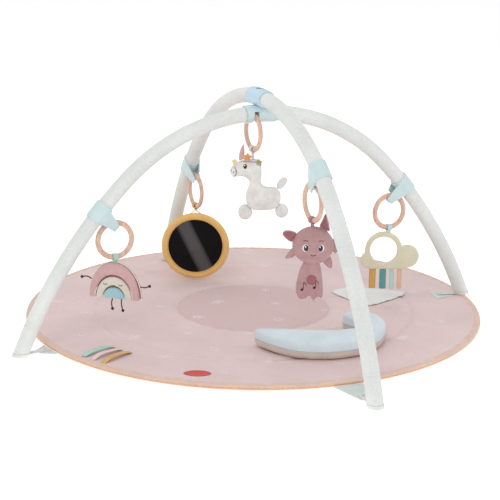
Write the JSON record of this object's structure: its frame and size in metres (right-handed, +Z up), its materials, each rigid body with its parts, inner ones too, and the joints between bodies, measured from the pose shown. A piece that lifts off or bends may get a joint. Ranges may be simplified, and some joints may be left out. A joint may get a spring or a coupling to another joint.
{
  "type": "activity play gym",
  "caption": "Round padded play mat with two crossed padded arches, sliding hangers, hanging rings, soft toys, a mirror and a crescent pillow.",
  "frame": {"origin": "on the floor under the crown pivot, on the underside of the mat", "axes": "+X along the lower arch towards its back foot, +Y along the upper arch towards its back foot, +Z up"},
  "size_m": [1.0782, 1.1331, 0.5132],
  "materials": {
    "pink_fabric": "matte",
    "base_fabric": "matte",
    "binding_fabric": "matte",
    "filling": "matte",
    "aqua_webbing": "matte",
    "satin_ribbon": "satin",
    "red_label": "matte",
    "white_fabric": "matte",
    "pillow_fabric": "matte",
    "sleeve_fabric": "matte",
    "white_plastic": "satin",
    "aqua_plastic": "satin",
    "steel": "brushed",
    "tan_plastic": "satin",
    "mauve_fabric": "matte",
    "cream_fabric": "matte",
    "blue_fabric": "matte",
    "brown_cord": "matte",
    "sand_plastic": "satin",
    "mustard_fabric": "matte",
    "mirror_film": "polished",
    "mirror_board": "matte",
    "grey_plush": "matte",
    "pink_ear": "matte",
    "creature_plush": "matte",
    "sound_plastic": "matte"
  },
  "bodies": {
    "mat": {"mat_base_cover": "base_fabric", "mat_edge_binding": "binding_fabric", "mat_flap": "white_fabric", "mat_label": "red_label", "mat_padding": "filling", "mat_ribbons": "satin_ribbon", "mat_tabs": "aqua_webbing", "mat_top_cover": "pink_fabric"},
    "pillow": {"pillow_cover": "pillow_fabric", "pillow_filling": "filling"},
    "arch_a": {"arch_a_foam": "filling", "arch_a_foot_caps": "white_plastic", "arch_a_foot_straps": "white_fabric", "arch_a_rods": "white_plastic", "arch_a_sleeve": "sleeve_fabric", "crown_hub_lower": "aqua_plastic", "crown_ring_pin": "aqua_plastic", "pivot_bolt": "steel", "pivot_nut": "steel"},
    "arch_b": {"arch_b_foam": "filling", "arch_b_foot_caps": "white_plastic", "arch_b_foot_straps": "white_fabric", "arch_b_rods": "white_plastic", "arch_b_sleeve": "sleeve_fabric", "crown_hub_upper": "aqua_plastic"},
    "slider_rainbow": {"slider_rainbow": "aqua_plastic"},
    "slider_cloud": {"slider_cloud": "aqua_plastic"},
    "slider_creature": {"slider_creature": "aqua_plastic"},
    "slider_mirror": {"slider_mirror": "aqua_plastic"},
    "ring_rainbow": {"ring_rainbow": "tan_plastic"},
    "rainbow": {"rainbow_back": "mauve_fabric", "rainbow_cords": "brown_cord", "rainbow_core": "blue_fabric", "rainbow_loop": "satin_ribbon", "rainbow_middle_band": "cream_fabric", "rainbow_outer_band": "mauve_fabric"},
    "ring_cloud": {"ring_cloud": "tan_plastic"},
    "cloud": {"cloud_loop": "satin_ribbon", "cloud_plate": "sand_plastic", "cloud_ribbons": "satin_ribbon"},
    "ring_creature": {"ring_creature": "tan_plastic"},
    "creature": {"creature_body": "creature_plush", "creature_ears": "creature_plush", "creature_head": "creature_plush", "creature_loop": "creature_plush", "creature_sound_box": "sound_plastic"},
    "ring_mirror": {"ring_mirror": "tan_plastic"},
    "mirror": {"mirror_back": "mirror_board", "mirror_frame": "mustard_fabric", "mirror_glass": "mirror_film", "mirror_loop": "mustard_fabric", "mirror_strap": "mustard_fabric"},
    "ring_llama": {"ring_llama": "tan_plastic"},
    "llama": {"llama_body": "grey_plush", "llama_ear": "pink_ear", "llama_flowers": "mustard_fabric", "llama_legs": "grey_plush", "llama_loop": "satin_ribbon", "llama_tail": "grey_plush"},
    "creature_button": {"creature_button": "sound_plastic"}
  },
  "joints": [
    {"name": "pillow_lift", "type": "slide", "parent": "mat", "child": "pillow", "axis": [0, 0, 1], "range_m": [0, 0.055]},
    {"name": "arches_lift_off", "type": "slide", "parent": "mat", "child": "arch_a", "axis": [0, 0, 1], "range_m": [0, 0.2]},
    {"name": "crown_pivot", "type": "hinge", "parent": "arch_a", "child": "arch_b", "pos_m": [0, 0, 0.47775], "axis": [0, 0, 1], "range_deg": [-30, 30]},
    {"name": "slider_rainbow_travel", "type": "hinge", "parent": "arch_a", "child": "slider_rainbow", "pos_m": [0.42325, 0, -0.38722], "axis": [0, 1, 0], "range_deg": [-3.4, 3]},
    {"name": "slider_cloud_travel", "type": "hinge", "parent": "arch_a", "child": "slider_cloud", "pos_m": [-0.42325, 0, -0.38722], "axis": [0, 1, 0], "range_deg": [-3, 2]},
    {"name": "slider_creature_travel", "type": "hinge", "parent": "arch_b", "child": "slider_creature", "pos_m": [0, 0, 0.0725], "axis": [-1, 0, 0], "range_deg": [-0.2, 17]},
    {"name": "slider_mirror_travel", "type": "hinge", "parent": "arch_b", "child": "slider_mirror", "pos_m": [0, -0.33088, -0.2607], "axis": [-1, 0, 0], "range_deg": [-5, 0]},
    {"name": "ring_rainbow_swing", "type": "hinge", "parent": "slider_rainbow", "child": "ring_rainbow", "pos_m": [-0.32025, 0, 0.24784], "axis": [0, 1, 0], "range_deg": [-25, 6]},
    {"name": "rainbow_sway", "type": "hinge", "parent": "ring_rainbow", "child": "rainbow", "pos_m": [-0.32025, 0, 0.18464], "axis": [1, 0, 0], "range_deg": [-25, 25]},
    {"name": "ring_cloud_swing", "type": "hinge", "parent": "slider_cloud", "child": "ring_cloud", "pos_m": [0.31908, 0, 0.2492], "axis": [0, 1, 0], "range_deg": [-5, 25]},
    {"name": "cloud_sway", "type": "hinge", "parent": "ring_cloud", "child": "cloud", "pos_m": [0.31908, 0, 0.186], "axis": [1, 0, 0], "range_deg": [-25, 25]},
    {"name": "ring_creature_swing", "type": "hinge", "parent": "slider_creature", "child": "ring_creature", "pos_m": [0, -0.25089, 0.35408], "axis": [-1, 0, 0], "range_deg": [-25, 6]},
    {"name": "creature_sway", "type": "hinge", "parent": "ring_creature", "child": "creature", "pos_m": [0, -0.25089, 0.29088], "axis": [0, 1, 0], "range_deg": [-20, 20]},
    {"name": "ring_mirror_swing", "type": "hinge", "parent": "slider_mirror", "child": "ring_mirror", "pos_m": [0, 0.34533, 0.24883], "axis": [-1, 0, 0], "range_deg": [-1, 25]},
    {"name": "mirror_sway", "type": "hinge", "parent": "ring_mirror", "child": "mirror", "pos_m": [0, 0.34533, 0.18563], "axis": [0, 1, 0], "range_deg": [-20, 20]},
    {"name": "ring_llama_swing", "type": "hinge", "parent": "arch_a", "child": "ring_llama", "pos_m": [-0.014, 0, 0.449], "axis": [-1, 0, 0], "range_deg": [-18, 18]},
    {"name": "llama_sway", "type": "hinge", "parent": "ring_llama", "child": "llama", "pos_m": [-0.014, 0, 0.3858], "axis": [0, 1, 0], "range_deg": [-20, 20]},
    {"name": "creature_button_press", "type": "slide", "parent": "creature", "child": "creature_button", "axis": [0.4179, 0.9085, 0], "range_m": [0, 0.002], "stiffness_N_per_m": 300, "springref_m": -0.001}
  ]
}
